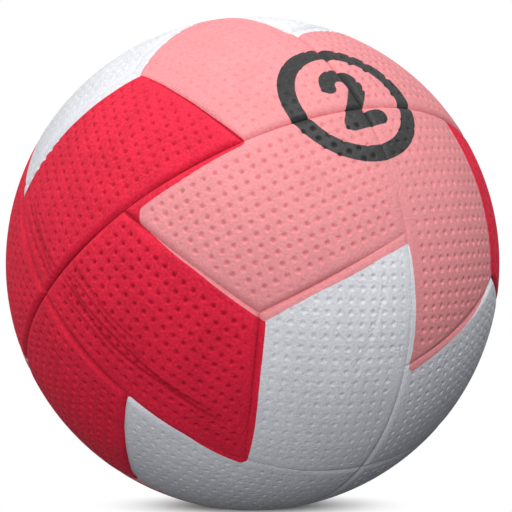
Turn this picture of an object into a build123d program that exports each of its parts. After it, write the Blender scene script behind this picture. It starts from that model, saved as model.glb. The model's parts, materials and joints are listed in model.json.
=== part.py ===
"""A size 2 handball: a bladder with its valve, a wound carcass and 24 bonded foam panels."""
import os
from math import asin, cos, degrees, radians, sin

from build123d import *

os.makedirs("parts", exist_ok=True)

# The ball and its layers, from the outside in (millimetres)
ball_diameter = 175.0  # 55 cm round, the middle of the size 2 range
panel_thickness = 4.5
carcass_wall = 1.2
winding_wall = 0.8
bladder_wall = 1.0
glue_line = 0.15  # left between one layer and the next

# The seams between the panels
short_side_angle = 30.0  # from a four-way crossing to the end of a panel's short side (degrees)
trim_margin = 12.0  # shell past a panel's corners, which its side walls cut away (degrees)
seam_gap = 0.2  # between the side walls of two neighbours
panel_edge_round = 2.2  # rolls the panel's outer edge down into the seam

# The valve: a rubber housing with a flange inside the bladder, and the plug that seals it
housing_radius = 4.5
housing_sink = 0.5  # below the ball's surface
housing_rim_round = 0.4
flange_radius = 11.0
flange_thickness = 1.6
valve_clearance = 0.1  # between the plug, the housing and the layers around it
plug_head_radius = 3.2
plug_head_height = 1.5
plug_radius = 2.3
plug_tail_length = 5.0  # past the flange, into the bladder
plug_tail_round = 1.0
needle_bore_radius = 1.15  # takes an inflating needle
needle_mouth_chamfer = 0.4
needle_floor = 2.0  # rubber below the bore, which closes on itself

# How the ball lies: its pattern, square to the axes, is turned about X, Y and Z (degrees)
lie_angle_x = 42.9
lie_angle_y = 24.8
lie_angle_z = -151.9
valve_panel_name = "panel_white_7"

# Radii and heights that follow from the sizes above
ball_radius = ball_diameter / 2
panel_inner_radius = ball_radius - panel_thickness
carcass_radius = panel_inner_radius - glue_line
winding_radius = carcass_radius - carcass_wall - glue_line
bladder_radius = winding_radius - winding_wall - glue_line
flange_top_radius = bladder_radius - bladder_wall - glue_line
flange_rim = (flange_top_radius**2 - flange_radius**2) ** 0.5
flange_floor = flange_rim - flange_thickness
housing_top = ball_radius - housing_sink
housing_hole_radius = housing_radius + valve_clearance
head_seat = housing_top - plug_head_height - valve_clearance
head_hole_radius = plug_head_radius + valve_clearance
plug_hole_radius = plug_radius + valve_clearance
plug_tail = flange_floor - plug_tail_length

# The corners of one panel, as directions from the ball's centre. Its square corner points up,
# at a crossing where four panels meet, and its blunt corner is a point where three meet.
crossing = Vector(0, 0, 1)
long_end = Vector(0, -cos(radians(short_side_angle)), sin(radians(short_side_angle)))
blunt_corner = Vector(1, -1, 1).normalized()
short_end = Vector(sin(radians(short_side_angle)), 0, cos(radians(short_side_angle)))
panel_corners = [crossing, long_end, blunt_corner, short_end]
panel_middle = (crossing + long_end + blunt_corner + short_end).normalized()

# The band of shell that a panel is cut from goes past the panel's corners all round (degrees)
long_end_angle = 90 - short_side_angle
band_start = -long_end_angle - trim_margin
band_height = long_end_angle + 2 * trim_margin
band_turn = 90 + trim_margin


def seam_wall(start, end):
    """The plane of a panel's side wall, half a seam inside the great circle from start to end."""
    inwards = start.cross(end).normalized()
    return Plane(origin=inwards * seam_gap / 2, z_dir=inwards)


# One cover panel: a band of shell cut to its four side walls, with a rolled outer edge
with BuildPart() as cover_panel:
    with BuildSketch(Plane.XY):
        with BuildLine():
            outside = CenterArc((0, 0), ball_radius, band_start, band_height)
            inside = CenterArc((0, 0), panel_inner_radius, band_start, band_height)
            Line(outside @ 0, inside @ 0)
            Line(outside @ 1, inside @ 1)
        make_face()
    revolve(axis=Axis.Y, revolution_arc=-band_turn)
    for start, end in zip(panel_corners, panel_corners[1:] + panel_corners[:1]):
        split(bisect_by=seam_wall(start, end), keep=Keep.TOP)
    outer_face = cover_panel.faces().filter_by(GeomType.SPHERE).sort_by(SortBy.AREA)[-1]
    fillet(outer_face.edges(), radius=panel_edge_round)

# Where the panels go: four round each end of three square axes, one colour to an axis
lie = Location((0, 0, 0), (lie_angle_x, lie_angle_y, lie_angle_z))
crossing_axes = {
    "red": (Vector(1, 0, 0), Vector(0, 1, 0)),
    "white": (Vector(0, 1, 0), Vector(0, 0, 1)),
    "pink": (Vector(0, 0, 1), Vector(1, 0, 0)),
}
panel_places = {}
for colour, (axis, first_side) in crossing_axes.items():
    for end, outwards in enumerate((axis, -axis)):
        for quarter in range(4):
            side = first_side.rotate(Axis((0, 0, 0), outwards), 90 * quarter)
            square_on = Plane(origin=(0, 0, 0), x_dir=side, z_dir=outwards)
            panel_places[f"panel_{colour}_{4 * end + quarter + 1}"] = Plane(lie * square_on.location)

# The 24 panels, one of them with a hole for the valve
for name, place in panel_places.items():
    with BuildPart(place) as panel:
        add(cover_panel.part)
        if name == valve_panel_name:
            with Locations(Plane(origin=panel_middle * ball_radius, z_dir=panel_middle)):
                Hole(housing_hole_radius, depth=2 * panel_thickness)
    panel.part.label = name
    export_step(panel.part, f"parts/{name}.step")

# The valve stands square to the surface, in the middle of its panel. Its section plane has
# the distance from the valve's axis as X and the height above the ball's centre as Y.
valve_place = panel_places[valve_panel_name]
valve_direction = valve_place.from_local_coords(panel_middle)
valve_axis = Axis((0, 0, 0), valve_direction)
across_valve = valve_place.z_dir.cross(valve_direction).normalized()
valve_section = Plane(
    origin=(0, 0, 0), x_dir=across_valve, z_dir=across_valve.cross(valve_direction)
)


def layer_profile(outer_radius, wall):
    """Draw half the section of a spherical layer, from its far side to the hole for the valve."""
    inner_radius = outer_radius - wall
    with BuildLine() as section:
        outside = CenterArc(
            (0, 0), outer_radius, -90, 180 - degrees(asin(housing_hole_radius / outer_radius))
        )
        inside = CenterArc(
            (0, 0), inner_radius, -90, 180 - degrees(asin(housing_hole_radius / inner_radius))
        )
        Line(outside @ 0, inside @ 0)
        Line(outside @ 1, inside @ 1)
    make_face(section.edges())


# The bladder holds the air
with BuildPart() as bladder:
    with BuildSketch(valve_section):
        layer_profile(bladder_radius, bladder_wall)
    revolve(axis=valve_axis)
bladder.part.label = "bladder"
export_step(bladder.part, "parts/bladder.step")

# The thread wound round the bladder keeps it round
with BuildPart() as thread_winding:
    with BuildSketch(valve_section):
        layer_profile(winding_radius, winding_wall)
    revolve(axis=valve_axis)
thread_winding.part.label = "thread_winding"
export_step(thread_winding.part, "parts/thread_winding.step")

# The rubber carcass closes over the thread, and carries the panels
with BuildPart() as carcass:
    with BuildSketch(valve_section):
        layer_profile(carcass_radius, carcass_wall)
    revolve(axis=valve_axis)
carcass.part.label = "carcass"
export_step(carcass.part, "parts/carcass.step")

# The valve's housing: a flange under the bladder, and a neck up to the surface
with BuildPart() as valve_housing:
    with BuildSketch(valve_section):
        with BuildLine():
            flange_top = CenterArc(
                (0, 0),
                flange_top_radius,
                90 - degrees(asin(flange_radius / flange_top_radius)),
                degrees(asin(flange_radius / flange_top_radius))
                - degrees(asin(housing_radius / flange_top_radius)),
            )
            Polyline(
                flange_top @ 1,
                (housing_radius, housing_top),
                (head_hole_radius, housing_top),
                (head_hole_radius, head_seat),
                (plug_hole_radius, head_seat),
                (plug_hole_radius, flange_floor),
                (flange_radius, flange_floor),
                flange_top @ 0,
            )
        make_face()
    revolve(axis=valve_axis)
    rim = valve_housing.edges().filter_by(GeomType.CIRCLE).sort_by(valve_axis)[-2:]
    fillet(rim.sort_by(SortBy.RADIUS)[-1], radius=housing_rim_round)
valve_housing.part.label = "valve_housing"
export_step(valve_housing.part, "parts/valve_housing.step")

# The plug: a head in the housing's mouth, and a shank with the needle's bore down its middle
with BuildPart() as valve_plug:
    with BuildSketch(valve_section):
        with BuildLine():
            Polyline(
                (needle_bore_radius, housing_top),
                (plug_head_radius, housing_top),
                (plug_head_radius, housing_top - plug_head_height),
                (plug_radius, housing_top - plug_head_height),
                (plug_radius, plug_tail),
                (0, plug_tail),
                (0, plug_tail + needle_floor),
                (needle_bore_radius, plug_tail + needle_floor),
                close=True,
            )
        make_face()
    revolve(axis=valve_axis)
    circles = valve_plug.edges().filter_by(GeomType.CIRCLE).sort_by(valve_axis)
    chamfer(circles[-2:].sort_by(SortBy.RADIUS)[0], length=needle_mouth_chamfer)
    fillet(circles[0], radius=plug_tail_round)
valve_plug.part.label = "valve_plug"
export_step(valve_plug.part, "parts/valve_plug.step")
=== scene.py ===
"""Dresses the handball's frame: dimpled foam panels with printed colours, valve, layers and stage."""

import json
import math

import bmesh
import bpy
import numpy as np
from bpy.props import FloatProperty, FloatVectorProperty, IntProperty, PointerProperty
from mathutils import Matrix, Vector


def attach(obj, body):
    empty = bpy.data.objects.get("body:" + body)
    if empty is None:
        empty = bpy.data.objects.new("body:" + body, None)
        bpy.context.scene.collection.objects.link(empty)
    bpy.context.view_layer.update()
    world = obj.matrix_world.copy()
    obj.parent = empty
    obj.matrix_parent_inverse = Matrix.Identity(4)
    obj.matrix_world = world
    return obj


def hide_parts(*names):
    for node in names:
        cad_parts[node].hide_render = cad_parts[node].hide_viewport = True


bl_info = {
    "name": "Handball Dresser",
    "version": (1, 0, 0),
    "blender": (4, 5, 0),
    "location": "View3D > Sidebar > Handball",
    "description": "Models the dimpled cover of a size 2 handball, finishes its valve and sets its stage",
    "category": "Object",
}

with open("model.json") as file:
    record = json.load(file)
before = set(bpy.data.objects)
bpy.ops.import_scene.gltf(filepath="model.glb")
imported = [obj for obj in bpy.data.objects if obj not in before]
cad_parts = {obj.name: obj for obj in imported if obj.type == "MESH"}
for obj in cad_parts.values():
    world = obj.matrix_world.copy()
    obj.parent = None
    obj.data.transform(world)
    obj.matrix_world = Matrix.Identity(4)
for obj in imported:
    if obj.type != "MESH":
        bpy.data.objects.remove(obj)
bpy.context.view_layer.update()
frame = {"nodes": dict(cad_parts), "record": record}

MM = 0.001
MOUNTS = {mount["name"]: mount for mount in frame["record"]["mounts"]}
BALL_RADIUS = -MOUNTS["resting_point"]["pos_m"][2]

# The pattern of the cover, as the frame's panels have it
PANEL_THICKNESS = 4.5 * MM
SHORT_SIDE = math.radians(30)
LIE_X = math.radians(42.9)
LIE_Y = math.radians(24.8)
LIE_Z = math.radians(-151.9)
LIE = Matrix.Rotation(LIE_X, 3, "X") @ Matrix.Rotation(LIE_Y, 3, "Y") @ Matrix.Rotation(LIE_Z, 3, "Z")
VALVE_PANEL = "panel_white_7"
VALVE_HOLE_RADIUS = 4.6 * MM
VALVE_HOLE_SIDES = 96
VALVE_EDGE_SHARE = 0.5  # width of the rolled edge round the valve, as a share of a seam's
COLOURS = ("red", "white", "pink")
CROSSING_AXES = {
    "red": (Vector((1, 0, 0)), Vector((0, 1, 0))),
    "white": (Vector((0, 1, 0)), Vector((0, 0, 1))),
    "pink": (Vector((0, 0, 1)), Vector((1, 0, 0))),
}

# The corners of one panel as directions from the ball's centre, with its four-way crossing up
CROSSING = Vector((0, 0, 1))
LONG_END = Vector((0, -math.cos(SHORT_SIDE), math.sin(SHORT_SIDE)))
BLUNT_CORNER = Vector((1, -1, 1)).normalized()
SHORT_END = Vector((math.sin(SHORT_SIDE), 0, math.cos(SHORT_SIDE)))
CORNERS = (CROSSING, LONG_END, BLUNT_CORNER, SHORT_END)
MIDDLE = (CROSSING + LONG_END + BLUNT_CORNER + SHORT_END).normalized()
WALLS = [a.cross(b).normalized() for a, b in zip(CORNERS, CORNERS[1:] + CORNERS[:1])]


def square_to(direction, facing):
    """A direction turned square to another one, in the plane of the two."""
    return (direction - direction.dot(facing) * facing).normalized()


# The flat sheet that a panel is cut from: its axes along the long side and across it, and its sizes
ALONG = square_to((LONG_END - CROSSING).normalized(), MIDDLE)
ACROSS = ALONG.cross(MIDDLE)
SHEET_HALF_SIZE = 62 * MM
PANEL_HALF_LENGTH = 45 * MM

# The mesh of a cut panel
EDGE_LINES = (0.06, 0.16, 0.32, 0.55)  # mesh lines beside a wall, in shares of the rolled edge
LINING_RINGS = (0, 0.35, 0.7)  # rings of the lining, in shares of the way to its middle
CUT_TOLERANCE = 1e-7
LINE_TOLERANCE = 0.02 * MM
SAME_CORNER = 1e-4  # two panels' corners and walls nearer than this are the same

# Where the dimples start on the panels that face the viewer, in shares of the pitch across and along
DIMPLE_SHIFTS = {
    "panel_red_1": (0.64, 0.5),
    "panel_red_2": (0.7, 0.37),
    "panel_red_3": (0.62, 0.37),
    "panel_white_1": (0.61, 0.58),
    "panel_white_2": (0.87, 0.61),
    "panel_white_3": (0.32, 0.6),
    "panel_pink_1": (0.75, 0.5),
    "panel_pink_2": (0.71, 0.32),
    "panel_pink_3": (0.61, 0.19),
}
HIDDEN_SHIFT = (0.37, 0.61)  # from one hidden panel to the next

# How deep the dimples are pressed, as a share, at a panel's crossing and at its far end
DIMPLE_SHARES = {
    "panel_red_2": (1.1, 1.1),
    "panel_red_3": (0.85, 0.85),
    "panel_white_1": (0.42, 0.42),
    "panel_white_2": (0.22, 0.58),
    "panel_white_3": (0.28, 0.28),
    "panel_white_5": (0.4, 0.4),
    "panel_pink_1": (0.65, 0.45),
    "panel_pink_2": (0.92, 0.92),
    "panel_pink_3": (0.75, 0.75),
}

# How far a panel's print runs over its wall, in millimetres, at the wall's start, middle and end
PRINT_OVERRUN = {
    ("panel_red_1", 2): (-0.4, 0.05, 0.6),
    ("panel_red_2", 0): (2.7, -0.25, 2.2),
    ("panel_red_2", 1): (0.9, 2.3, 2.0),
    ("panel_red_2", 2): (-1.5, -0.75, 1.0),
    ("panel_red_3", 0): (4.4, 3.9, 1.5),
    ("panel_red_3", 1): (0.5, 0.5, 0.2),
    ("panel_red_3", 2): (-5.0, -5.2, -6.0),
    ("panel_red_5", 1): (3.2, 3.6, 4.5),
    ("panel_white_1", 2): (-0.2, -1.8, -3.2),
    ("panel_white_2", 0): (-2.3, 1.7, 0.1),
    ("panel_white_2", 1): (-3.5, -2.7, -3.0),
    ("panel_white_5", 2): (4.4, 4.8, 5.0),
    ("panel_white_6", 0): (4.0, 4.5, 3.5),
    ("panel_white_6", 1): (4.5, 4.5, 4.5),
}

# Where panels meet nearly flush: a direction in the pattern, a reach and the share of the depth that
# is lost. The last one is below 0, where the seam is deeper than usual.
FLUSH_SPOTS = (
    ((0.0, 0.31, 0.95), 24 * MM, 0.93),
    ((0.0, 0.71, 0.71), 24 * MM, 0.82),
    ((0.33, 0.94, 0.01), 34 * MM, 0.85),
    ((0.71, 0.71, 0.0), 30 * MM, 0.75),
    ((0.0, 0.9, 0.43), 28 * MM, 0.6),
    ((0.73, 0.36, 0.58), 20 * MM, 0.4),
    ((0.34, 0.6, 0.73), 22 * MM, 0.2),
    ((0.5, -0.6, 0.62), 28 * MM, 0.9),
    ((0.95, 0.3, 0.045), 26 * MM, -0.9),
)

# Wrinkles along a wall: the wall, the distances from it at the start and the end, the start and the
# end on the sheet, and the depth
CREASES = {
    "panel_red_2": (
        (0, 12.2 * MM, 13.6 * MM, -44 * MM, 44 * MM, 0.5 * MM),
        (0, 14.6 * MM, 15.2 * MM, -43 * MM, 36 * MM, 0.42 * MM),
        (0, 16.8 * MM, 17.4 * MM, -42 * MM, 10 * MM, 0.3 * MM),
        (0, 19.0 * MM, 20.6 * MM, -41 * MM, 2 * MM, 0.32 * MM),
        (0, 10.0 * MM, 9.4 * MM, -40 * MM, 4 * MM, 0.26 * MM),
    ),
    "panel_red_3": (
        (3, 5.2 * MM, 6.6 * MM, -8 * MM, 30 * MM, 0.26 * MM),
        (3, 7.0 * MM, 9.6 * MM, -8 * MM, 30 * MM, 0.32 * MM),
        (3, 8.8 * MM, 12.0 * MM, -8 * MM, 30 * MM, 0.32 * MM),
    ),
    "panel_white_2": (
        (0, 19.4 * MM, 9.6 * MM, 2 * MM, 44 * MM, 0.14 * MM),
        (0, 17.6 * MM, 8.2 * MM, 8 * MM, 42 * MM, 0.12 * MM),
        (0, 21.0 * MM, 11.4 * MM, 4 * MM, 40 * MM, 0.1 * MM),
    ),
}
CREASE_WIDTH = 0.65 * MM
CREASE_SWAY = 0.5 * MM  # to each side of its line
CREASE_WAVE = 7 * MM
CREASE_FADE = 0.2  # at each end, as a share of the run

# The rolled edges: how steep they are, how they join at a corner, and a slow change over the ball
EDGE_POWER = 3
CORNER_POWER = 4
GROOVE_SWING = 0.12
GROOVE_WAVE = (9.0, 5.0, -7.0)
GROOVE_START = 1.0

# How the pits' painted shade also darkens the wrinkles and the seams
CREASE_SHADE_DEPTH = 0.5 * MM  # a wrinkle of this depth gets the full painted shade
SEAM_SHADE = 0.9

# A plain printed ring and numeral, in millimetres, near the pink crossing
PRINT_SPOT = Vector((0.03, -0.05, 0.998)).normalized()
PRINT_TILT = math.radians(-12)
LEANING_UP = Matrix.Rotation(PRINT_TILT, 3, "Y") @ Vector((0, 0, 1))
PRINT_UP = square_to(LIE.transposed() @ LEANING_UP, PRINT_SPOT)
PRINT_RIGHT = PRINT_UP.cross(PRINT_SPOT)
PRINT_RING = 22.5
PRINT_STROKE = 6.0
FAR_FROM_PRINT = 99
FACING_LIMIT = -0.9  # keeps the print's flat map finite on the ball's far side

# The numeral, in millimetres from the ring's middle: a bowl, and a foot below it
BOWL_MIDDLE = (0.0, 5.2)
BOWL_RADIUS = 5.4
BOWL_START = -38  # degrees
BOWL_END = 168
FOOT_LEFT = (-6.2, -9.6)
FOOT_RIGHT = (6.4, -9.6)

# The edges of the print, in millimetres: how far they waver and how soft they are
PRINT_WAVE_SCALE = 45.0
PRINT_WAVER = 0.5
PRINT_SOFT = 0.2
INK_WAVER = 0.15
INK_SOFT = 0.12
WAVE_SPAN = (0.25, 0.75)  # the values that a wavering noise mostly takes

# The skin's grain and the finish of the ink
GRAIN_SPAN = (0.3, 0.7)  # the values that a grain noise mostly takes
GRAIN_TONES = (0.9, 1.04)
MOTTLE_TONES = (-0.03, 0.03)
GRAIN_ROUGHNESS = (0.08, -0.08)
GRAIN_HEIGHT = 0.3 * MM
SKIN_SPECULAR = 0.32
INK_ROUGHNESS = -0.15  # added to the skin's
INK_COAT = 0.12
INK_COAT_ROUGHNESS = 0.3

# The softboxes: name, place, length of a side, and whether the skin mirrors them
SOFTBOXES = (
    ("key_softbox", (-0.95, 0.0, 1.15), 0.9, True),
    ("top_softbox", (0.65, -0.38, 1.3), 0.9, True),
    ("front_fill", (-0.22, -1.43, 0.36), 0.6, False),
    ("rear_fill", (0.3, 1.4, 0.2), 0.55, False),
)
SENSOR_WIDTH = 36
PAPER_WHITE = (1, 1, 1)

# The floor: its size, and the patch of shadow under the ball, which is wide and shallow
FLOOR_HALF_SIZE = 6
FLOOR_CELLS = 8
SHADOW_STRETCH = (1, 2.5, 0)
SHADOW_FADE = (0.01, 0.06)
FLOOR_SEEN = (0.85, 0.85, 0.85)
FLOOR_BOUNCE = (0.06, 0.064, 0.08)  # the colour that lights the ball from below


class HandballCover(bpy.types.PropertyGroup):
    """Sizes and colours of the cover, with the painted shade of its hollows."""

    dimple_pitch: FloatProperty(
        name="Dimple Pitch", description="From one dimple to the next", default=4.15 * MM, unit="LENGTH"
    )
    dimple_width: FloatProperty(
        name="Dimple Width", description="Across one dimple", default=2.6 * MM, unit="LENGTH"
    )
    dimple_depth: FloatProperty(
        name="Dimple Depth", description="At a dimple's middle", default=0.78 * MM, unit="LENGTH"
    )
    dimple_clear: FloatProperty(
        name="Dimple Clear", description="Plain strip along a seam", default=2.0 * MM, unit="LENGTH"
    )
    dimple_full: FloatProperty(
        name="Dimple Full", description="Where dimples reach full depth", default=4.4 * MM, unit="LENGTH"
    )
    dimple_skew: FloatVectorProperty(
        name="Dimple Skew", description="Slant of the rows, across and along", default=(0.035, 0.02), size=2
    )
    cells: IntProperty(name="Cells", description="Mesh cells from one dimple to the next", default=12)
    groove_depth: FloatProperty(
        name="Groove Depth", description="Of the seam below the cover", default=1.4 * MM, unit="LENGTH"
    )
    groove_reach: FloatProperty(
        name="Groove Reach", description="Width of one rolled edge", default=3.3 * MM, unit="LENGTH"
    )
    seam_gap: FloatProperty(
        name="Seam Gap", description="Between two panels' walls", default=0.02 * MM, unit="LENGTH"
    )
    paint_round: FloatProperty(
        name="Paint Round", description="Softness of the print's corners", default=0.45 * MM, unit="LENGTH"
    )
    red: FloatVectorProperty(
        name="Red", description="Red print", default=(0.635, 0.016, 0.046), subtype="COLOR"
    )
    white: FloatVectorProperty(
        name="White", description="White print", default=(0.64, 0.645, 0.68), subtype="COLOR"
    )
    pink: FloatVectorProperty(
        name="Pink", description="Pink print", default=(0.665, 0.243, 0.257), subtype="COLOR"
    )
    ink: FloatVectorProperty(
        name="Ink", description="Black print", default=(0.009, 0.009, 0.01), subtype="COLOR"
    )
    # Painted shade: the darker, more saturated colours that the red, pink and ink take in the dimples,
    # wrinkles and seams, where shade falls
    red_painted_shade: FloatVectorProperty(
        name="Red Pit", description="Red print in a dimple", default=(0.36, 0.007, 0.023), subtype="COLOR"
    )
    pink_painted_shade: FloatVectorProperty(
        name="Pink Pit", description="Pink print in a dimple", default=(0.68, 0.16, 0.178), subtype="COLOR"
    )
    ink_painted_shade: FloatVectorProperty(
        name="Ink Pit", description="Ink in a dimple", default=(0.002, 0.002, 0.002), subtype="COLOR"
    )


class HandballStage(bpy.types.PropertyGroup):
    """The camera and the light."""

    distance: FloatProperty(
        name="Distance", description="From the camera to the ball's centre", default=0.875, unit="LENGTH"
    )
    lens: FloatProperty(name="Lens", description="Focal length", default=172.8, unit="CAMERA")
    elevation: FloatProperty(
        name="Elevation", description="Of the camera", default=math.radians(6), subtype="ANGLE"
    )
    aim: FloatVectorProperty(
        name="Aim", description="Middle of the view", default=(0.0012, 0, 0.0027), subtype="XYZ"
    )
    key_power: FloatProperty(
        name="Key Power", description="Of the softbox at the left", default=13.5, unit="POWER"
    )
    top_power: FloatProperty(
        name="Top Power", description="Of the softbox above", default=20, unit="POWER"
    )
    front_power: FloatProperty(
        name="Front Power", description="Of the front fill", default=17.5, unit="POWER"
    )
    rear_power: FloatProperty(
        name="Rear Power", description="Of the fill behind", default=7, unit="POWER"
    )
    ambient: FloatProperty(name="Ambient", description="Strength of the room's light", default=0.03)


def panel_places():
    """Each panel's name with its turn in the pattern: four round each end of three square axes."""
    places = {}
    for colour, (axis, first_side) in CROSSING_AXES.items():
        for end, outwards in enumerate((axis, -axis)):
            for quarter in range(4):
                side = Matrix.Rotation(math.radians(90 * quarter), 3, outwards) @ first_side
                turn = Matrix((side, outwards.cross(side), outwards)).transposed()
                places[f"panel_{colour}_{4 * end + quarter + 1}"] = turn
    return places


PLACES = panel_places()


def smooth_step(low, high, values):
    """From 0 at low to 1 at high, with level ends."""
    t = np.clip((values - low) / (high - low), 0, 1)
    return t * t * (3 - 2 * t)


def wrap(flat):
    """Lay a point of the flat sheet on the ball, as a stereographic map round the panel's middle."""
    reach = flat.xy.length
    if reach == 0:
        return MIDDLE * BALL_RADIUS
    angle = 2 * math.atan(reach / (2 * BALL_RADIUS))
    heading = (ACROSS * flat.x + ALONG * flat.y) / reach
    return (MIDDLE * math.cos(angle) + heading * math.sin(angle)) * BALL_RADIUS


def unwrap(directions):
    """Each point's place on the flat sheet, which undoes wrap."""
    stretch = 2 * BALL_RADIUS / (1 + directions @ np.array(MIDDLE))
    flat = np.column_stack([directions @ np.array(ACROSS), directions @ np.array(ALONG)])
    return stretch[:, None] * flat


def cut_blank(cover):
    """One plain panel as a closed mesh: a gridded outer skin, side walls and a lining."""
    cell = cover.dimple_pitch / cover.cells
    half_cells = math.ceil(SHEET_HALF_SIZE / cell)
    across = 2 * half_cells
    bm = bmesh.new()
    bmesh.ops.create_grid(bm, x_segments=across, y_segments=across, size=half_cells * cell)
    for vert in bm.verts:
        vert.co = wrap(vert.co)
    for inwards in WALLS:
        bmesh.ops.bisect_plane(
            bm,
            geom=bm.verts[:] + bm.edges[:] + bm.faces[:],
            dist=CUT_TOLERANCE,
            plane_co=inwards * cover.seam_gap / 2,
            plane_no=-inwards,
            clear_outer=True,
        )
    for inwards in WALLS:
        for share in EDGE_LINES:
            bmesh.ops.bisect_plane(
                bm,
                geom=bm.verts[:] + bm.edges[:] + bm.faces[:],
                dist=LINE_TOLERANCE,
                plane_co=inwards * (cover.seam_gap / 2 + share * cover.groove_reach),
                plane_no=inwards,
            )
    rim = [edge for edge in bm.edges if edge.is_boundary]
    lining_radius = BALL_RADIUS - PANEL_THICKNESS
    for drawn_in in LINING_RINGS:
        grown = bmesh.ops.extrude_edge_only(bm, edges=rim)["geom"]
        for vert in (item for item in grown if isinstance(item, bmesh.types.BMVert)):
            vert.co = vert.co.normalized().lerp(MIDDLE, drawn_in).normalized() * lining_radius
        rim = [item for item in grown if isinstance(item, bmesh.types.BMEdge) and item.is_boundary]
    grown = bmesh.ops.extrude_edge_only(bm, edges=rim)["geom"]
    last = [item for item in grown if isinstance(item, bmesh.types.BMVert)]
    bmesh.ops.pointmerge(bm, verts=last, merge_co=MIDDLE * lining_radius)
    bmesh.ops.recalc_face_normals(bm, faces=bm.faces[:])
    blank = bpy.data.meshes.new("panel_blank")
    bm.to_mesh(blank)
    bm.free()
    return blank


def cut_valve_hole(blank):
    """A copy of the blank with a round hole through its middle."""
    outwards = MIDDLE.to_track_quat("Z", "X").to_matrix().to_4x4()
    bm = bmesh.new()
    bmesh.ops.create_cone(
        bm,
        cap_ends=True,
        segments=VALVE_HOLE_SIDES,
        radius1=VALVE_HOLE_RADIUS,
        radius2=VALVE_HOLE_RADIUS,
        depth=4 * PANEL_THICKNESS,
        matrix=Matrix.Translation(MIDDLE * BALL_RADIUS) @ outwards,
    )
    drill = new_object("drill", bm)
    holder = bpy.data.objects.new("holder", blank.copy())
    bpy.context.scene.collection.objects.link(holder)
    cut = holder.modifiers.new("valve hole", "BOOLEAN")
    cut.object = drill
    cut.operation = "DIFFERENCE"
    cut.solver = "EXACT"
    bpy.context.view_layer.update()
    graph = bpy.context.evaluated_depsgraph_get()
    pierced = bpy.data.meshes.new_from_object(holder.evaluated_get(graph))
    bpy.data.objects.remove(holder)
    bpy.data.objects.remove(drill)
    return pierced


def new_object(name, bm):
    """An object in the scene from a bmesh, which it frees."""
    mesh = bpy.data.meshes.new(name)
    bm.to_mesh(mesh)
    bm.free()
    piece = bpy.data.objects.new(name, mesh)
    bpy.context.scene.collection.objects.link(piece)
    return piece


def read_points(mesh):
    """The mesh's vertices as an array."""
    points = np.empty(len(mesh.vertices) * 3, np.float32)
    mesh.vertices.foreach_get("co", points)
    return points.reshape(-1, 3).astype(float)


def write_attribute(mesh, name, kind, values):
    """Store one value for each vertex under a name that the materials read."""
    layer = mesh.attributes.new(name, kind, "POINT")
    field = "vector" if kind == "FLOAT_VECTOR" else "value"
    layer.data.foreach_set(field, np.ascontiguousarray(values, np.float32).ravel())


def shared_wall(name, wall):
    """The panel beyond wall 1 or 2, which meet at the blunt corner, and that panel's own wall there."""
    corner = PLACES[name] @ BLUNT_CORNER
    inwards = PLACES[name] @ WALLS[wall]
    for other, place in PLACES.items():
        off_corner = (place @ BLUNT_CORNER - corner).length
        off_wall = (place @ WALLS[3 - wall] + inwards).length
        if off_corner + off_wall < SAME_CORNER:
            return other, 3 - wall
    raise ValueError(f"no panel beyond wall {wall} of {name}")


def print_moves():
    """How far each panel's print field is moved out at a wall, at the wall's start, middle and end."""
    moves = {}
    for (name, wall), over in PRINT_OVERRUN.items():
        over = np.array(over)
        if wall == 0:
            # The print beyond a long side stays, so this one moves for both
            moves[name, wall] = 2 * over
        else:
            beyond = shared_wall(name, wall)
            moves[name, wall] = moves.get((name, wall), 0) + over
            moves[beyond] = moves.get(beyond, 0) - over[::-1]
    return moves


PRINT_MOVES = print_moves()
LOG_LIMIT = 60  # keeps the sums of exponentials in range
LEAST = 1e-26


def paint_fields(directions, cover):
    """How far each point lies inside the red, white and pink print, in millimetres."""
    soft = cover.paint_round / MM
    inside = {colour: np.zeros(len(directions)) for colour in COLOURS}
    for name, place in PLACES.items():
        local = directions @ np.array(place)
        depths = np.arcsin(local @ np.array(WALLS).T) * BALL_RADIUS / MM
        for wall, (start, end) in enumerate(zip(CORNERS, CORNERS[1:])):
            along = np.arctan2(local @ np.array(WALLS[wall].cross(start)), local @ np.array(start))
            along = np.clip(along / start.angle(end), 0, 1)
            # A parabola through the moves at the wall's start, middle and end
            start_out, middle_out, end_out = PRINT_MOVES.get((name, wall), (0, 0, 0))
            depths[:, wall] += start_out * (1 - along) * (1 - 2 * along)
            depths[:, wall] += middle_out * 4 * along * (1 - along)
            depths[:, wall] += end_out * along * (2 * along - 1)
        near = depths.min(axis=1)
        rounded = near - soft * np.log(np.exp((near[:, None] - depths) / soft).sum(axis=1))
        inside[name.split("_")[1]] += np.exp(np.clip(rounded / soft, -LOG_LIMIT, LOG_LIMIT))
    return np.stack([soft * np.log(np.maximum(inside[colour], LEAST)) for colour in COLOURS], axis=1)


def groove_share(in_pattern):
    """How much of the groove's depth is left at each point: less where the panels meet flush."""
    share = 1 + GROOVE_SWING * np.sin(in_pattern @ np.array(GROOVE_WAVE) + GROOVE_START)
    for spot, reach, flush in FLUSH_SPOTS:
        angle = np.arccos(np.clip(in_pattern @ np.array(Vector(spot).normalized()), -1, 1))
        share *= 1 - flush * np.exp(-((angle * BALL_RADIUS / reach) ** 2))
    return share


def creases(name, walls_off, sheet_spot):
    """Depth of the fine wrinkles in a panel's skin."""
    depth = np.zeros(len(walls_off))
    for wall, start, end, low, high, deep in CREASES.get(name, ()):
        run = sheet_spot[:, 1] if wall in (0, 2) else sheet_spot[:, 0]
        along = np.clip((run - low) / (high - low), 0, 1)
        line = start + (end - start) * along + CREASE_SWAY * np.sin(run / CREASE_WAVE + start / MM)
        ends = smooth_step(0, CREASE_FADE, along) * smooth_step(0, CREASE_FADE, 1 - along)
        depth += deep * ends * np.exp(-(((walls_off[:, wall] - line) / CREASE_WIDTH) ** 2))
    return depth


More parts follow.
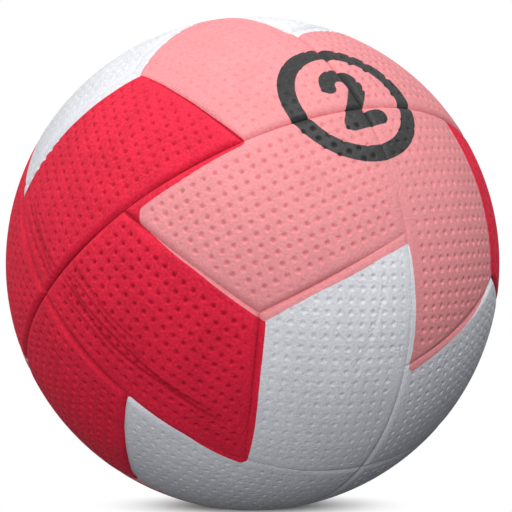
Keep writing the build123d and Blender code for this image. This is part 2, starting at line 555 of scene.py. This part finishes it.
def dimples(sheet_spot, walls_off, phase, cover):
    """How deep each point lies in a dimple, from 0 on the plain skin to 1 at a dimple's middle."""
    skew_across, skew_along = cover.dimple_skew
    slant = np.array(((1, skew_along), (skew_across, 1)))
    rows = sheet_spot @ slant / cover.dimple_pitch + np.array(phase)
    from_pit = np.linalg.norm(rows - np.round(rows), axis=1) * cover.dimple_pitch
    bowl = 1 - smooth_step(0, cover.dimple_width / 2, from_pit)
    return bowl * smooth_step(cover.dimple_clear, cover.dimple_full, walls_off).prod(axis=1)


def grooves(in_pattern, walls_off, cover):
    """Depth of the rolled edges."""
    rolled = np.clip(1 - walls_off / cover.groove_reach, 0, 1) ** EDGE_POWER
    joined = (rolled**CORNER_POWER).sum(axis=1) ** (1 / CORNER_POWER)
    depth = cover.groove_depth * np.minimum(joined, 1)
    return depth * groove_share(in_pattern)


def print_mark(in_pattern):
    """Millimetres from each point to the printed ring and numeral, and less than 0 in the ink."""
    facing = in_pattern @ np.array(PRINT_SPOT)
    flat = np.column_stack([in_pattern @ np.array(PRINT_RIGHT), in_pattern @ np.array(PRINT_UP)])
    flat = flat * (2 * BALL_RADIUS / MM / (1 + np.maximum(facing, FACING_LIMIT)))[:, None]
    ring = np.abs(np.linalg.norm(flat, axis=1) - PRINT_RING) - PRINT_STROKE / 2
    figure = numeral_two(flat) - PRINT_STROKE / 2
    return np.where(facing > 0, np.minimum(ring, figure), FAR_FROM_PRINT)


def numeral_two(flat):
    """Distance from the middle line of a plain 2: a bowl, a slanted leg and a foot."""
    offset = flat - np.array(BOWL_MIDDLE)
    turn = np.degrees(np.arctan2(offset[:, 1], offset[:, 0]))
    on_bowl = (turn > BOWL_START) & (turn < BOWL_END)
    bowl = np.abs(np.linalg.norm(offset, axis=1) - BOWL_RADIUS)
    tips = []
    for angle in (math.radians(BOWL_START), math.radians(BOWL_END)):
        tips.append(np.array(BOWL_MIDDLE) + BOWL_RADIUS * np.array((math.cos(angle), math.sin(angle))))
    to_tips = np.min([np.linalg.norm(flat - tip, axis=1) for tip in tips], axis=0)
    leg = from_segment(flat, tips[0], np.array(FOOT_LEFT))
    foot = from_segment(flat, np.array(FOOT_LEFT), np.array(FOOT_RIGHT))
    return np.min([np.where(on_bowl, bowl, to_tips), leg, foot], axis=0)


def from_segment(flat, start, end):
    """Distance from a straight stroke."""
    run = end - start
    along = np.clip((flat - start) @ run / (run @ run), 0, 1)
    return np.linalg.norm(flat - start - along[:, None] * run, axis=1)


def from_walls(name, directions, cover):
    """Each point's distance from the panel's walls, and from the valve's hole where it has one."""
    walls_off = BALL_RADIUS * np.arcsin(directions @ np.array(WALLS).T) - cover.seam_gap / 2
    if name == VALVE_PANEL:
        from_valve = BALL_RADIUS * np.arccos(np.clip(directions @ np.array(MIDDLE), -1, 1))
        walls_off = np.column_stack([walls_off, (from_valve - VALVE_HOLE_RADIUS) / VALVE_EDGE_SHARE])
    return walls_off


def dimple_share(name, sheet_spot):
    """How deep the dimples are pressed at each point, as a share of their depth."""
    at_crossing, at_far_end = DIMPLE_SHARES.get(name, (1, 1))
    run = smooth_step(-PANEL_HALF_LENGTH, PANEL_HALF_LENGTH, sheet_spot[:, 1])
    return at_crossing + (at_far_end - at_crossing) * run


def shape_panel(name, blank, cover, serial):
    """One finished panel: the blank with its relief, in its place, with its print and painted shade as
    attributes.
    """
    mesh = blank.copy()
    mesh.name = f"cover_{name}"
    points = read_points(mesh)
    radii = np.linalg.norm(points, axis=1)
    directions = points / radii[:, None]
    in_pattern = directions @ np.array(PLACES[name]).T
    in_frame = in_pattern @ np.array(LIE).T
    walls_off = from_walls(name, directions, cover)
    sheet_spot = unwrap(directions)
    hidden_shift = [serial * step for step in HIDDEN_SHIFT]
    pits = dimples(sheet_spot, walls_off, DIMPLE_SHIFTS.get(name, hidden_shift), cover)
    pits *= dimple_share(name, sheet_spot)
    wrinkles = creases(name, walls_off, sheet_spot)
    seams = grooves(in_pattern, walls_off, cover)
    sunk = cover.dimple_depth * pits + seams + wrinkles
    outer = radii > BALL_RADIUS - PANEL_THICKNESS / 2
    radii = np.where(outer, radii - sunk, radii)
    mesh.vertices.foreach_set("co", (in_frame * radii[:, None]).astype(np.float32).ravel())
    # Painted shade: the colours darken in the dimples, in the wrinkles and along the seams' bottoms, where
    # shade falls
    seam_shade = SEAM_SHADE * (seams / cover.groove_depth) ** 2
    shaded = np.max([pits**2, wrinkles / CREASE_SHADE_DEPTH, seam_shade], axis=0)
    write_attribute(mesh, "painted_shade", "FLOAT", np.minimum(shaded, 1))
    write_attribute(mesh, "paint", "FLOAT_VECTOR", paint_fields(in_pattern, cover))
    write_attribute(mesh, "ink", "FLOAT", print_mark(in_pattern))
    mesh.polygons.foreach_set("use_smooth", np.ones(len(mesh.polygons), bool))
    mesh.update()
    piece = bpy.data.objects.new(f"cover_{name}", mesh)
    bpy.context.scene.collection.objects.link(piece)
    return piece


class NodeSheet:
    """Lays nodes out in a tree, from left to right, with short calls to set and link them."""

    in_row = 8
    step_right = 180
    step_down = 240

    def __init__(self, tree):
        self.tree = tree
        self.count = 0

    def add(self, kind, **settings):
        """A node with its attributes and its inputs set: an input is a value or an output socket."""
        node = self.tree.nodes.new(kind)
        row, place = divmod(self.count, self.in_row)
        node.location = (self.step_right * place, -self.step_down * row)
        self.count += 1
        inputs = settings.pop("inputs", {})
        for key, value in settings.items():
            setattr(node, key, value)
        for key, value in inputs.items():
            if isinstance(value, bpy.types.NodeSocket):
                self.tree.links.new(value, node.inputs[key])
            else:
                node.inputs[key].default_value = value
        return node

    def math(self, operation, first, second=0.0):
        """A Math node's result."""
        node = self.add("ShaderNodeMath", operation=operation, inputs={0: first, 1: second})
        return node.outputs["Value"]

    def span(self, value, low, high, to_low=0.0, to_high=1.0):
        """A value mapped from one span to another, held at its ends."""
        node = self.add(
            "ShaderNodeMapRange",
            interpolation_type="SMOOTHSTEP",
            inputs={
                "Value": value,
                "From Min": low,
                "From Max": high,
                "To Min": to_low,
                "To Max": to_high,
            },
        )
        return node.outputs["Result"]

    def mix(self, factor, first, second, blend="MIX"):
        """Two colours mixed. The node's sockets 6 and 7 take the colours, and 2 gives the result."""
        mixed = {0: factor, 6: first, 7: second}
        node = self.add("ShaderNodeMix", data_type="RGBA", blend_type=blend, inputs=mixed)
        return node.outputs[2]

    def grey(self, value):
        """A value as a colour."""
        node = self.add("ShaderNodeCombineColor", inputs={"Red": value, "Green": value, "Blue": value})
        return node.outputs["Color"]


def rgba(colour):
    """A colour with full alpha."""
    return (*colour, 1.0)


def skin_group():
    """The fine grain of a moulded skin: a tone, a roughness and a height that change over it."""
    group = bpy.data.node_groups.new("Moulded skin", "ShaderNodeTree")
    face = group.interface
    face.new_socket("Vector", in_out="INPUT", socket_type="NodeSocketVector")
    for name, value in (("Grain Scale", 1100.0), ("Mottle Scale", 90.0), ("Base Roughness", 0.88)):
        face.new_socket(name, in_out="INPUT", socket_type="NodeSocketFloat").default_value = value
    for name in ("Tone", "Roughness", "Height"):
        face.new_socket(name, in_out="OUTPUT", socket_type="NodeSocketFloat")
    sheet = NodeSheet(group)
    given = sheet.add("NodeGroupInput").outputs
    where = given["Vector"]
    fine = {"Vector": where, "Scale": given["Grain Scale"], "Detail": 3.0, "Roughness": 0.6}
    grain = sheet.add("ShaderNodeTexNoise", inputs=fine).outputs["Fac"]
    broad = {"Vector": where, "Scale": given["Mottle Scale"], "Detail": 2.0}
    mottle = sheet.add("ShaderNodeTexNoise", inputs=broad).outputs["Fac"]
    fine_tone = sheet.span(grain, *GRAIN_SPAN, *GRAIN_TONES)
    broad_tone = sheet.span(mottle, *GRAIN_SPAN, *MOTTLE_TONES)
    tone = sheet.math("ADD", fine_tone, broad_tone)
    change = sheet.span(grain, *GRAIN_SPAN, *GRAIN_ROUGHNESS)
    rough = sheet.math("ADD", given["Base Roughness"], change)
    sheet.add("NodeGroupOutput", inputs={"Tone": tone, "Roughness": rough, "Height": grain})
    return group


def new_material(name):
    """An empty node material with its sheet, its shader and the object's coordinates."""
    material = bpy.data.materials.new(name)
    material.use_nodes = True
    material.node_tree.nodes.clear()
    sheet = NodeSheet(material.node_tree)
    shader = sheet.add("ShaderNodeBsdfPrincipled")
    sheet.add("ShaderNodeOutputMaterial", inputs={"Surface": shader.outputs["BSDF"]})
    where = sheet.add("ShaderNodeTexCoord").outputs["Object"]
    return material, sheet, shader, where


def set_grain(sheet, shader, where, bump, **values):
    """Place the skin group, link its height as a bump, and give back its outputs."""
    tree = bpy.data.node_groups.get("Moulded skin") or skin_group()
    skin = sheet.add("ShaderNodeGroup", node_tree=tree, inputs={"Vector": where, **values})
    height = skin.outputs["Height"]
    raised = sheet.add(
        "ShaderNodeBump", inputs={"Strength": bump, "Distance": GRAIN_HEIGHT, "Height": height}
    )
    sheet.tree.links.new(raised.outputs["Normal"], shader.inputs["Normal"])
    return skin.outputs


def waver(sheet, distance, noise, reach):
    """The distance from a print's edge, which a noise moves to and fro."""
    return sheet.math("ADD", distance, sheet.span(noise, *WAVE_SPAN, -reach, reach))


def cover_material(cover):
    """Foam skin whose printed colours follow the paint and ink attributes, and darken in dimples, wrinkles
    and seams as painted shade.
    """
    material, sheet, shader, where = new_material("cover_print")
    skin = set_grain(sheet, shader, where, bump=1.0)
    paint = sheet.add("ShaderNodeAttribute", attribute_name="paint").outputs["Vector"]
    parts = sheet.add("ShaderNodeSeparateXYZ", inputs={"Vector": paint}).outputs
    slow = {"Vector": where, "Scale": PRINT_WAVE_SCALE, "Detail": 2.0}
    wave = sheet.add("ShaderNodeTexNoise", inputs=slow).outputs["Color"]
    waves = sheet.add("ShaderNodeSeparateColor", inputs={"Color": wave}).outputs
    red = waver(sheet, parts["X"], waves["Red"], PRINT_WAVER)
    white = waver(sheet, parts["Y"], waves["Green"], PRINT_WAVER)
    in_red = sheet.math("SUBTRACT", red, sheet.math("MAXIMUM", white, parts["Z"]))
    in_white = sheet.math("SUBTRACT", white, sheet.math("MAXIMUM", red, parts["Z"]))
    # Painted shade: each colour turns to its darker pit colour in the dimples, wrinkles and seams
    painted_shade = sheet.add("ShaderNodeAttribute", attribute_name="painted_shade").outputs["Fac"]
    red_with_painted_shade = sheet.mix(painted_shade, rgba(cover.red), rgba(cover.red_painted_shade))
    pink_with_painted_shade = sheet.mix(painted_shade, rgba(cover.pink), rgba(cover.pink_painted_shade))
    ink_with_painted_shade = sheet.mix(painted_shade, rgba(cover.ink), rgba(cover.ink_painted_shade))
    # The grain's tone counts twice in the red, which shows it more than the other colours
    tone = sheet.grey(skin["Tone"])
    red_with_painted_shade = sheet.mix(1.0, red_with_painted_shade, tone, "MULTIPLY")
    colour = sheet.mix(sheet.span(in_white, -PRINT_SOFT, PRINT_SOFT), pink_with_painted_shade, rgba(cover.white))
    colour = sheet.mix(sheet.span(in_red, -PRINT_SOFT, PRINT_SOFT), colour, red_with_painted_shade)
    ink = sheet.add("ShaderNodeAttribute", attribute_name="ink").outputs["Fac"]
    inked = sheet.span(waver(sheet, ink, waves["Blue"], INK_WAVER), INK_SOFT, -INK_SOFT)
    colour = sheet.mix(inked, colour, ink_with_painted_shade)
    colour = sheet.mix(1.0, colour, tone, "MULTIPLY")
    sheet.tree.links.new(colour, shader.inputs["Base Color"])
    rough = sheet.math("ADD", skin["Roughness"], sheet.math("MULTIPLY", inked, INK_ROUGHNESS))
    sheet.tree.links.new(rough, shader.inputs["Roughness"])
    sheet.tree.links.new(sheet.math("MULTIPLY", inked, INK_COAT), shader.inputs["Coat Weight"])
    shader.inputs["Coat Roughness"].default_value = INK_COAT_ROUGHNESS
    shader.inputs["Specular IOR Level"].default_value = SKIN_SPECULAR
    return material


def rubber_material(name, colour, roughness, grain_scale, bump):
    """Rubber, or coated thread, with a fine grain."""
    material, sheet, shader, where = new_material(name)
    grain = {"Grain Scale": grain_scale, "Base Roughness": roughness}
    skin = set_grain(sheet, shader, where, bump, **grain)
    shade = sheet.mix(1.0, rgba(colour), sheet.grey(skin["Tone"]), "MULTIPLY")
    sheet.tree.links.new(shade, shader.inputs["Base Color"])
    sheet.tree.links.new(skin["Roughness"], shader.inputs["Roughness"])
    return material


def dress(node, material):
    """Give a node of the frame a material all over."""
    mesh = frame["nodes"][node].data
    mesh.materials.clear()
    mesh.materials.append(material)


class HANDBALL_OT_cover(bpy.types.Operator):
    """Model the 24 foam panels"""

    bl_idname = "handball.cover"
    bl_label = "Cover Panels"

    def execute(self, context):
        cover = context.scene.handball_cover
        material = cover_material(cover)
        blank = cut_blank(cover)
        pierced = cut_valve_hole(blank)
        for serial, name in enumerate(PLACES):
            piece = shape_panel(name, pierced if name == VALVE_PANEL else blank, cover, serial)
            piece.data.materials.clear()
            piece.data.materials.append(material)
            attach(piece, "root")
            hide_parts(name)
        for mesh in (blank, pierced):
            bpy.data.meshes.remove(mesh)
        return {"FINISHED"}


class HANDBALL_OT_valve(bpy.types.Operator):
    """Finish the valve's housing and its plug"""

    bl_idname = "handball.valve"
    bl_label = "Valve"

    def execute(self, context):
        rubber = rubber_material(
            "valve_rubber_black", colour=(0.018, 0.018, 0.019), roughness=0.5, grain_scale=1800.0, bump=0.2
        )
        for node in ("valve_housing", "valve_plug"):
            dress(node, rubber)
        return {"FINISHED"}


class HANDBALL_OT_layers(bpy.types.Operator):
    """Finish the layers under the cover"""

    bl_idname = "handball.layers"
    bl_label = "Inner Layers"

    def execute(self, context):
        dull = rubber_material(
            "carcass_rubber_dull", colour=(0.05, 0.05, 0.052), roughness=0.75, grain_scale=700.0, bump=0.5
        )
        smooth = rubber_material(
            "bladder_rubber_smooth", colour=(0.03, 0.03, 0.032), roughness=0.4, grain_scale=1500.0, bump=0.1
        )
        thread = rubber_material(
            "winding_thread_nylon", colour=(0.6, 0.57, 0.5), roughness=0.7, grain_scale=1200.0, bump=0.6
        )
        dress("carcass", dull)
        dress("bladder", smooth)
        dress("thread_winding", thread)
        return {"FINISHED"}


class HANDBALL_OT_stage(bpy.types.Operator):
    """Lay the floor and set the camera and the lights"""

    bl_idname = "handball.stage"
    bl_label = "Stage"

    def execute(self, context):
        stage = context.scene.handball_stage
        lay_floor()
        hang_lights(stage)
        set_camera(stage)
        context.scene.view_settings.view_transform = "Standard"
        return {"FINISHED"}


def seen_rays(sheet):
    """1 for the rays of the camera and of mirror and glass, and 0 for the light's own bounces."""
    path = sheet.add("ShaderNodeLightPath").outputs
    seen = sheet.math("MAXIMUM", path["Is Camera Ray"], path["Is Glossy Ray"])
    return sheet.math("MAXIMUM", seen, path["Is Transmission Ray"])


def lay_floor():
    """A pale floor that is white away from the ball and keeps the ball's shadow."""
    bm = bmesh.new()
    bmesh.ops.create_grid(bm, x_segments=FLOOR_CELLS, y_segments=FLOOR_CELLS, size=FLOOR_HALF_SIZE)
    bmesh.ops.translate(bm, verts=bm.verts[:], vec=(0, 0, -BALL_RADIUS))
    floor = new_object("floor", bm)
    material = bpy.data.materials.new("floor_pale")
    material.use_nodes = True
    material.node_tree.nodes.clear()
    sheet = NodeSheet(material.node_tree)
    where = sheet.add("ShaderNodeTexCoord").outputs["Object"]
    level = sheet.add("ShaderNodeVectorMath", operation="MULTIPLY", inputs={0: where, 1: SHADOW_STRETCH})
    reach = sheet.add("ShaderNodeVectorMath", operation="LENGTH", inputs={0: level.outputs["Vector"]})
    seen = seen_rays(sheet)
    glow = sheet.math("MULTIPLY", sheet.span(reach.outputs["Value"], *SHADOW_FADE), seen)
    pale = sheet.mix(seen, rgba(FLOOR_BOUNCE), rgba(FLOOR_SEEN))
    matte = sheet.add("ShaderNodeBsdfDiffuse", inputs={"Color": pale})
    white = sheet.add("ShaderNodeEmission", inputs={"Color": rgba(PAPER_WHITE), "Strength": 1.0})
    both = sheet.add(
        "ShaderNodeMixShader", inputs={0: glow, 1: matte.outputs["BSDF"], 2: white.outputs["Emission"]}
    )
    sheet.add("ShaderNodeOutputMaterial", inputs={"Surface": both.outputs["Shader"]})
    floor.data.materials.append(material)


def hang_light(name, place, size, power):
    """One square softbox that faces the ball."""
    lamp = bpy.data.lights.new(name, "AREA")
    lamp.shape = "SQUARE"
    lamp.size = size
    lamp.energy = power
    light = bpy.data.objects.new(name, lamp)
    light.location = place
    light.rotation_euler = (-Vector(place)).to_track_quat("-Z", "Y").to_euler()
    bpy.context.scene.collection.objects.link(light)
    return light


def hang_lights(stage):
    """Softboxes at the left, above, in front and behind, and the room's own light."""
    powers = (stage.key_power, stage.top_power, stage.front_power, stage.rear_power)
    for (name, place, size, mirrored), power in zip(SOFTBOXES, powers):
        hang_light(name, place, size, power).visible_glossy = mirrored
    world = bpy.data.worlds.new("room")
    bpy.context.scene.world = world
    world.use_nodes = True
    world.node_tree.nodes.clear()
    sheet = NodeSheet(world.node_tree)
    strength = sheet.span(seen_rays(sheet), 0, 1, stage.ambient, 1.0)
    room = sheet.add("ShaderNodeBackground", inputs={"Color": rgba(PAPER_WHITE), "Strength": strength})
    sheet.add("ShaderNodeOutputWorld", inputs={"Surface": room.outputs["Background"]})


def set_camera(stage):
    """A long lens, a little above the ball's middle, in front of it."""
    lens = bpy.data.cameras.new("camera")
    lens.lens = stage.lens
    lens.sensor_width = SENSOR_WIDTH
    camera = bpy.data.objects.new("camera", lens)
    aim = Vector(stage.aim)
    towards = Vector((0, -math.cos(stage.elevation), math.sin(stage.elevation)))
    camera.location = aim + towards * stage.distance
    camera.rotation_euler = (-towards).to_track_quat("-Z", "Y").to_euler()
    bpy.context.scene.collection.objects.link(camera)
    bpy.context.scene.camera = camera


class HANDBALL_PT_sidebar(bpy.types.Panel):
    """Lists the steps and their sizes"""

    bl_idname = "HANDBALL_PT_sidebar"
    bl_label = "Handball"
    bl_space_type = "VIEW_3D"
    bl_region_type = "UI"
    bl_category = "Handball"

    def draw(self, context):
        for group in (context.scene.handball_cover, context.scene.handball_stage):
            for name in group.__annotations__:
                self.layout.prop(group, name)
        for step in STEPS:
            self.layout.operator(step.bl_idname)


STEPS = (HANDBALL_OT_cover, HANDBALL_OT_valve, HANDBALL_OT_layers, HANDBALL_OT_stage)
CLASSES = (HandballCover, HandballStage, *STEPS, HANDBALL_PT_sidebar)


def register():
    """Add the classes and the scene's properties."""
    for entry in CLASSES:
        bpy.utils.register_class(entry)
    bpy.types.Scene.handball_cover = PointerProperty(type=HandballCover)
    bpy.types.Scene.handball_stage = PointerProperty(type=HandballStage)


def unregister():
    """Take the scene's properties and the classes away."""
    del bpy.types.Scene.handball_stage
    del bpy.types.Scene.handball_cover
    for entry in reversed(CLASSES):
        bpy.utils.unregister_class(entry)


def main():
    """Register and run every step."""
    register()
    bpy.ops.handball.cover()
    bpy.ops.handball.valve()
    bpy.ops.handball.layers()
    bpy.ops.handball.stage()


if __name__ == "__main__":
    main()
